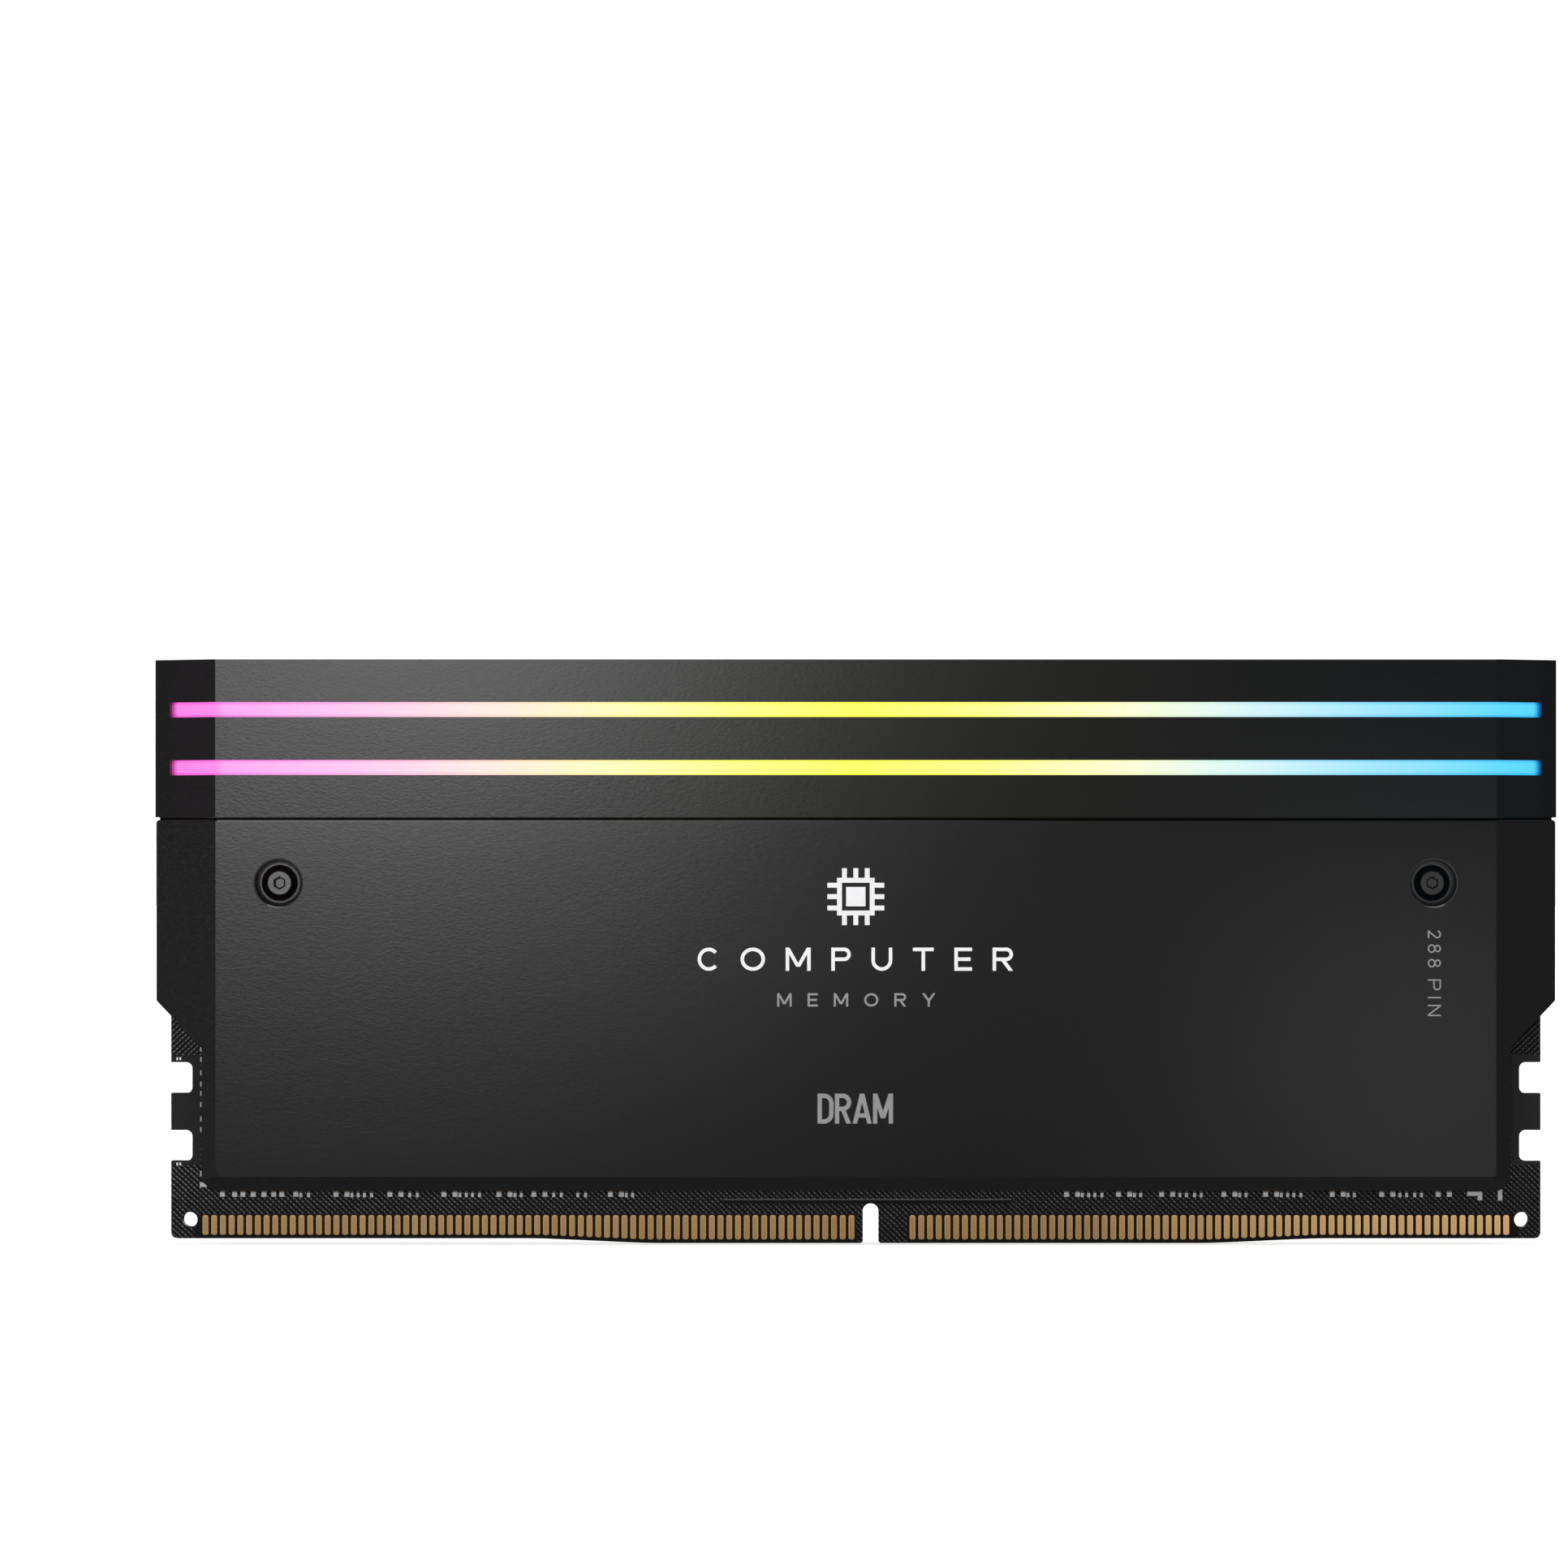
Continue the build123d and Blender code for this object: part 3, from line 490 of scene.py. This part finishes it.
paint(
    grained("resistor_glaze", (0.012, 0.012, 0.014, 1), (0.03, 0.03, 0.034, 1), 5.0, 0.3),
    "resistor_bodies_front", "resistor_bodies_rear",
)
paint(grained("coil_ferrite", (0.04, 0.04, 0.042, 1), (0.09, 0.09, 0.095, 1), 6.0, 0.6), "power_coils")
paint(
    grained("chip_epoxy", (0.008, 0.008, 0.009, 1), (0.022, 0.022, 0.024, 1), 7.0, 0.55),
    *[name for name in nodes if name.startswith("memory_chip")],
    "power_management_chip", "configuration_hub_chip", "light_controller_chip",
)
paint(
    grained("pad_silicone", (0.20, 0.24, 0.30, 1), (0.28, 0.33, 0.40, 1), 4.0, 0.75),
    *[name for name in nodes if name.startswith("thermal_pad")], "power_chip_pad",
)
paint(
    grained("package_white", (0.6, 0.6, 0.58, 1), (0.75, 0.75, 0.73, 1), 6.0, 0.5),
    "light_packages_front", "light_packages_rear",
)
paint(
    grained("lens_resin", (0.7, 0.7, 0.5, 1), (0.85, 0.85, 0.65, 1), 6.0, 0.2),
    "light_lenses_front", "light_lenses_rear",
)


# ---------------------------------------------------------------------------
# Printed marks: a plain chip symbol and plain words on the front plate, ticks on the board
# ---------------------------------------------------------------------------

INK = 0.02                      # thickness of the print
CDT_INSIDE = 1                  # output type of the triangulation: triangles inside outlines
CDT_EPSILON = 1e-5
TICK_WIDTH, TICK_REACH = 0.15, 0.14

white_ink = grained("white_ink", (0.72, 0.72, 0.73, 1), (0.84, 0.84, 0.85, 1), 8.0, 0.5)
grey_ink = grained("grey_ink", (0.22, 0.22, 0.225, 1), (0.28, 0.28, 0.285, 1), 8.0, 0.5)


def rectangle(x_low, x_high, z_low, z_high):
    """Outline of an upright rectangle."""
    return [(x_low, z_low), (x_high, z_low), (x_high, z_high), (x_low, z_high)]


def straight(start, end, weight):
    """Straight stroke, cut level at its ends, or plumb if the stroke runs level."""
    (x0, z0), (x1, z1) = sorted((start, end), key=lambda point: point[1])
    if z0 == z1:
        return rectangle(min(x0, x1), max(x0, x1), z0 - weight / 2, z0 + weight / 2)
    half = weight / 2 * math.hypot(x1 - x0, z1 - z0) / abs(z1 - z0)
    return [(x0 - half, z0), (x0 + half, z0), (x1 + half, z1), (x1 - half, z1)]


def bend(centre, radii, start, end, weight):
    """Curved stroke inside an ellipse's rim between two angles in degrees, as short pieces."""
    steps = max(6, round(abs(end - start) / 9))
    rims = []
    for i in range(steps + 1):
        angle = math.radians(start + (end - start) * i / steps)
        across, up = math.cos(angle), math.sin(angle)
        outer = (centre[0] + radii[0] * across, centre[1] + radii[1] * up)
        inner = (centre[0] + (radii[0] - weight) * across, centre[1] + (radii[1] - weight) * up)
        rims.append((outer, inner))
    return [[a[0], b[0], b[1], a[1]] for a, b in zip(rims, rims[1:])]


def letter_strokes(letter, width, weight):
    """Outlines of the strokes of a letter 1 high. Lines give two ends in x and z, bends a
    centre, two radii and two angles."""
    half = weight / 2
    left, right, middle = half, width - half, width / 2
    base, cap = half, 1 - half
    bowl, deep = 0.29, 0.32     # radii of the bowl of P and R and of the corners of D
    bowl_base = 1 - 2 * bowl
    lines = {
        "A": [((half, 0), (middle, 1)), ((right, 0), (middle, 1)),
              ((width * 0.2, 0.27), (width * 0.8, 0.27))],
        "D": [((left, 0), (left, 1)), ((0, cap), (width - deep, cap)), ((0, base), (width - deep, base)),
              ((right, deep), (right, 1 - deep))],
        "E": [((left, 0), (left, 1)), ((0, cap), (width, cap)), ((0, 0.5), (width * 0.92, 0.5)),
              ((0, base), (width, base))],
        "I": [((middle, 0), (middle, 1))],
        "M": [((left, 0), (left, 1)), ((right, 0), (right, 1)), ((left, 1), (middle, 0.18)),
              ((right, 1), (middle, 0.18))],
        "N": [((left, 0), (left, 1)), ((right, 0), (right, 1)), ((left, 1), (right, 0))],
        "P": [((left, 0), (left, 1)), ((0, cap), (width - bowl, cap)),
              ((0, bowl_base + half), (width - bowl, bowl_base + half))],
        "T": [((0, cap), (width, cap)), ((middle, 0), (middle, 1))],
        "U": [((left, 0.45), (left, 1)), ((right, 0.45), (right, 1))],
        "Y": [((half * 1.2, 1), (middle, 0.42)), ((width - half * 1.2, 1), (middle, 0.42)),
              ((middle, 0), (middle, 0.46))],
        "2": [((0, base), (width, base)), ((half * 1.4, half), (width - half * 1.5, 0.62))],
    }
    lines["R"] = lines["P"] + [((width * 0.48, bowl_base + half), (right - half * 0.2, 0))]
    bends = {
        "C": [((middle, 0.5), (middle, 0.5), 42, 318)],
        "D": [((width - deep, deep), (deep, deep), -90, 0), ((width - deep, 1 - deep), (deep, deep), 0, 90)],
        "O": [((middle, 0.5), (middle, 0.5), 0, 360)],
        "P": [((width - bowl, 1 - bowl), (bowl, bowl), -90, 90)],
        "U": [((middle, 0.45), (middle, 0.45), 180, 360)],
        "2": [((middle, 0.72), (middle, 0.28), -28, 168)],
        "8": [((middle, 0.75), (middle * 0.86, 0.25), 0, 360), ((middle, 0.29), (middle, 0.29), 0, 360)],
    }
    bends["R"] = bends["P"]
    outlines = [straight(start, end, weight) for start, end in lines.get(letter, [])]
    for centre, radii, start, end in bends.get(letter, []):
        outlines += bend(centre, radii, start, end, weight)
    return outlines


# Widths of letters 1 high
LETTER_WIDTHS = {
    "A": 1.02, "C": 0.96, "D": 0.86, "E": 0.76, "I": 0.2, "M": 1.08, "N": 0.86, "O": 1.06,
    "P": 0.84, "R": 0.88, "T": 0.9, "U": 0.9, "Y": 1.0, "2": 0.62, "8": 0.66, " ": 0.0,
}


def word_outlines(word, length, cap_height, stroke, squeeze=1.0):
    """Outlines of a word from (0, 0), its letters spaced out to fill the length."""
    widths = [LETTER_WIDTHS[letter] * squeeze for letter in word]
    gap = (length / cap_height - sum(widths)) / (len(word) - 1)
    outlines, start = [], 0.0
    for letter, width in zip(word, widths):
        for outline in letter_strokes(letter, width, stroke / cap_height):
            outlines.append([((start + x) * cap_height, z * cap_height) for x, z in outline])
        start += width + gap
    return outlines


def shifted(outlines, x, z):
    """The outlines moved by x and z."""
    return [[(x + u, z + v) for u, v in outline] for outline in outlines]


def quarter_turned(outlines):
    """The outlines turned a quarter turn clockwise, so that a word reads downward."""
    return [[(v, -u) for u, v in outline] for outline in outlines]


def printed(name, outlines, surface_y, material):
    """Thin print on a front surface that covers everything inside the overlapping outlines."""
    points, loops = [], []
    for outline in outlines:
        loops.append(range(len(points), len(points) + len(outline)))
        points += [Vector(point) for point in outline]
    spots, _, faces, _, _, sources = delaunay_2d_cdt(points, [], loops, CDT_INSIDE, CDT_EPSILON)
    inside = []
    for face, covering in zip(faces, sources):
        if covering:
            a, b, c = (spots[i] for i in face)
            inside.append(face if (b - a).cross(c - a) > 0 else face[::-1])
    build = bmesh.new()
    layers = []
    for y in (surface_y - INK, surface_y):
        layers.append([build.verts.new(Vector((spot.x, y, spot.y)) * MM) for spot in spots])
    front, back = layers
    sides = set()
    for face in inside:
        build.faces.new([front[i] for i in face])
        build.faces.new([back[i] for i in reversed(face)])
        sides |= {(face[i - 1], face[i]) for i in range(3)}
    for i, j in sides:
        if (j, i) not in sides:
            build.faces.new((front[j], front[i], back[i], back[j]))
    for vert in [vert for vert in build.verts if not vert.link_faces]:
        build.verts.remove(vert)
    mesh = bpy.data.meshes.new(name)
    build.to_mesh(mesh)
    build.free()
    mesh.materials.append(material)
    piece = bpy.data.objects.new(name, mesh)
    bpy.context.scene.collection.objects.link(piece)
    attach(piece, "root")


def chip_symbol(side):
    """Outlines of a square chip symbol about (0, 0): a frame, a core and legs all round."""
    body, core = side * 0.33, side * 0.17
    frame_width, leg_width, leg_end = side * 0.085, side * 0.085, side * 0.5
    outlines = [rectangle(-core, core, -core, core)]
    for end in (-1, 1):
        near, far = sorted((end * body, end * (body - frame_width)))
        outlines += [rectangle(-body, body, near, far), rectangle(near, far, -body, body)]
        near, far = sorted((end * (body - frame_width), end * leg_end))
        for step in (-1, 0, 1):
            leg = step * side * 0.2
            low, high = leg - leg_width / 2, leg + leg_width / 2
            outlines += [rectangle(low, high, near, far), rectangle(near, far, low, high)]
    return outlines


symbol = shifted(chip_symbol(side=5.5), x=0.0, z=33.75)
printed("mark_symbol", symbol, plate_face, white_ink)
title = word_outlines("COMPUTER", length=30.5, cap_height=2.24, stroke=0.34)
printed("mark_name", shifted(title, x=-15.3, z=26.58), plate_face, white_ink)
kind = word_outlines("MEMORY", length=15.3, cap_height=1.29, stroke=0.2)
printed("mark_kind", shifted(kind, x=-7.6, z=23.12), plate_face, grey_ink)
form = word_outlines("DRAM", length=7.3, cap_height=2.9, stroke=0.42, squeeze=0.62)
printed("mark_form", shifted(form, x=-3.7, z=11.8), plate_face, grey_ink)
count = quarter_turned(word_outlines("288 PIN", length=8.3, cap_height=1.26, stroke=0.13))
printed("mark_count", shifted(count, x=55.32, z=30.5), plate_face, grey_ink)
for label, height in (("upper", 17.95), ("lower", 7.7)):
    low, high = height - TICK_REACH, height + TICK_REACH
    ticks = [rectangle(x, x + TICK_WIDTH, low, high) for x in (-66.15, -65.85)]
    printed("mark_ticks_" + label, ticks, board_face, white_ink)


# ---------------------------------------------------------------------------
# Camera, floor and light. Lengths are in metres, the lens in millimetres
# ---------------------------------------------------------------------------

CAMERA_DISTANCE = 0.450
CAMERA_HEIGHT = 0.03656
CAMERA_LENS = 105.95
CAMERA_SHIFT = (-0.0458, 0.0533)
SENSOR_WIDTH = 36.0
LIGHT_DISTANCE = 1.2
FLOOR_REACH = 4.0
FLOOR_DROP = 0.0001             # from the contact edge down to the floor
FLOOR_GLOW = 0.82

camera_data = bpy.data.cameras.new("camera")
camera_data.lens = CAMERA_LENS
camera_data.sensor_width = SENSOR_WIDTH
camera_data.shift_x, camera_data.shift_y = CAMERA_SHIFT
camera_data.clip_start = 0.01
camera = bpy.data.objects.new("camera", camera_data)
camera.location = (0, -CAMERA_DISTANCE, CAMERA_HEIGHT)
camera.rotation_euler = (math.pi / 2, 0, 0)
bpy.context.scene.collection.objects.link(camera)
bpy.context.scene.camera = camera


def floor():
    """Large pale floor just under the contact edge, lit from below as a light table is."""
    height = cad_bounds[0][2] - FLOOR_DROP
    square = rectangle(-FLOOR_REACH, FLOOR_REACH, -FLOOR_REACH, FLOOR_REACH)
    mesh = bpy.data.meshes.new("floor")
    mesh.from_pydata([(x, y, height) for x, y in square], [], [(0, 1, 2, 3)])
    plane = bpy.data.objects.new("floor", mesh)
    bpy.context.scene.collection.objects.link(plane)
    g = Graph("floor_paint")
    fine = g.noise(g.place(), 0.02, 2.0)
    pale = g.mix(fine, grey(0.88), grey(0.9))
    g.set(Base_Color=pale, Roughness=0.9, Specular_IOR_Level=0.0)
    g.set(Emission_Color=pale, Emission_Strength=FLOOR_GLOW)
    mesh.materials.append(g.material)
    plane.visible_glossy = False


def softbox(name, x_range, z_range, radiance, side):
    """Bright upright panel facing the module from LIGHT_DISTANCE away, unseen by the camera."""
    width, height = x_range[1] - x_range[0], z_range[1] - z_range[0]
    data = bpy.data.lights.new(name, "AREA")
    data.shape = "RECTANGLE"
    data.size, data.size_y = width, height
    data.energy = radiance * math.pi * width * height
    lamp = bpy.data.objects.new(name, data)
    lamp.location = (-side * sum(x_range) / 2, side * LIGHT_DISTANCE, sum(z_range) / 2)
    lamp.rotation_euler = (math.pi / 2, 0, 0 if side == FRONT else math.pi)
    lamp.visible_camera = False
    bpy.context.scene.collection.objects.link(lamp)


def overhead_sun(strength, angle):
    """Light from straight above, as wide as the angle in degrees."""
    data = bpy.data.lights.new("overhead", "SUN")
    data.energy = strength
    data.angle = math.radians(angle)
    lamp = bpy.data.objects.new("overhead", data)
    bpy.context.scene.collection.objects.link(lamp)


def studio_world(seen, ahead, left, right, below):
    """White backdrop to look at. It lights the module less, by a level for each direction."""
    world = bpy.data.worlds.new("studio")
    world.use_nodes = True
    g = Graph(world)
    backdrop = g.tree.nodes["Background"]
    x, _, z = g.split(g.node("TexCoord").outputs["Generated"])
    leftward, downward = g.math("MULTIPLY", x, -1.0), g.math("MULTIPLY", z, -1.0)
    level = ahead
    for direction, share in ((leftward, left), (x, right), (downward, below)):
        level = g.math("ADD", level, g.spread(direction, 0.4, 0.7, 0.0, share - ahead, smooth=True))
    to_camera = g.node("LightPath").outputs["Is Camera Ray"]
    g.feed(backdrop.inputs["Strength"], g.math("MAXIMUM", level, g.math("MULTIPLY", to_camera, seen)))
    backdrop.inputs["Color"].default_value = grey(1)
    bpy.context.scene.world = world


floor()
studio_world(seen=1.05, ahead=0.10, left=0.43, right=0.24, below=0.18)
overhead_sun(strength=3.0, angle=42)
for side in (FRONT, REAR):
    end = "front" if side == FRONT else "rear"
    softbox("softbox_high_" + end, (-0.285, -0.062), (0.040, 0.402), radiance=8.3, side=side)
    softbox("softbox_low_" + end, (0.151, 0.259), (-0.088, 0.012), radiance=3.5, side=side)
bpy.context.scene.view_settings.view_transform = "Standard"
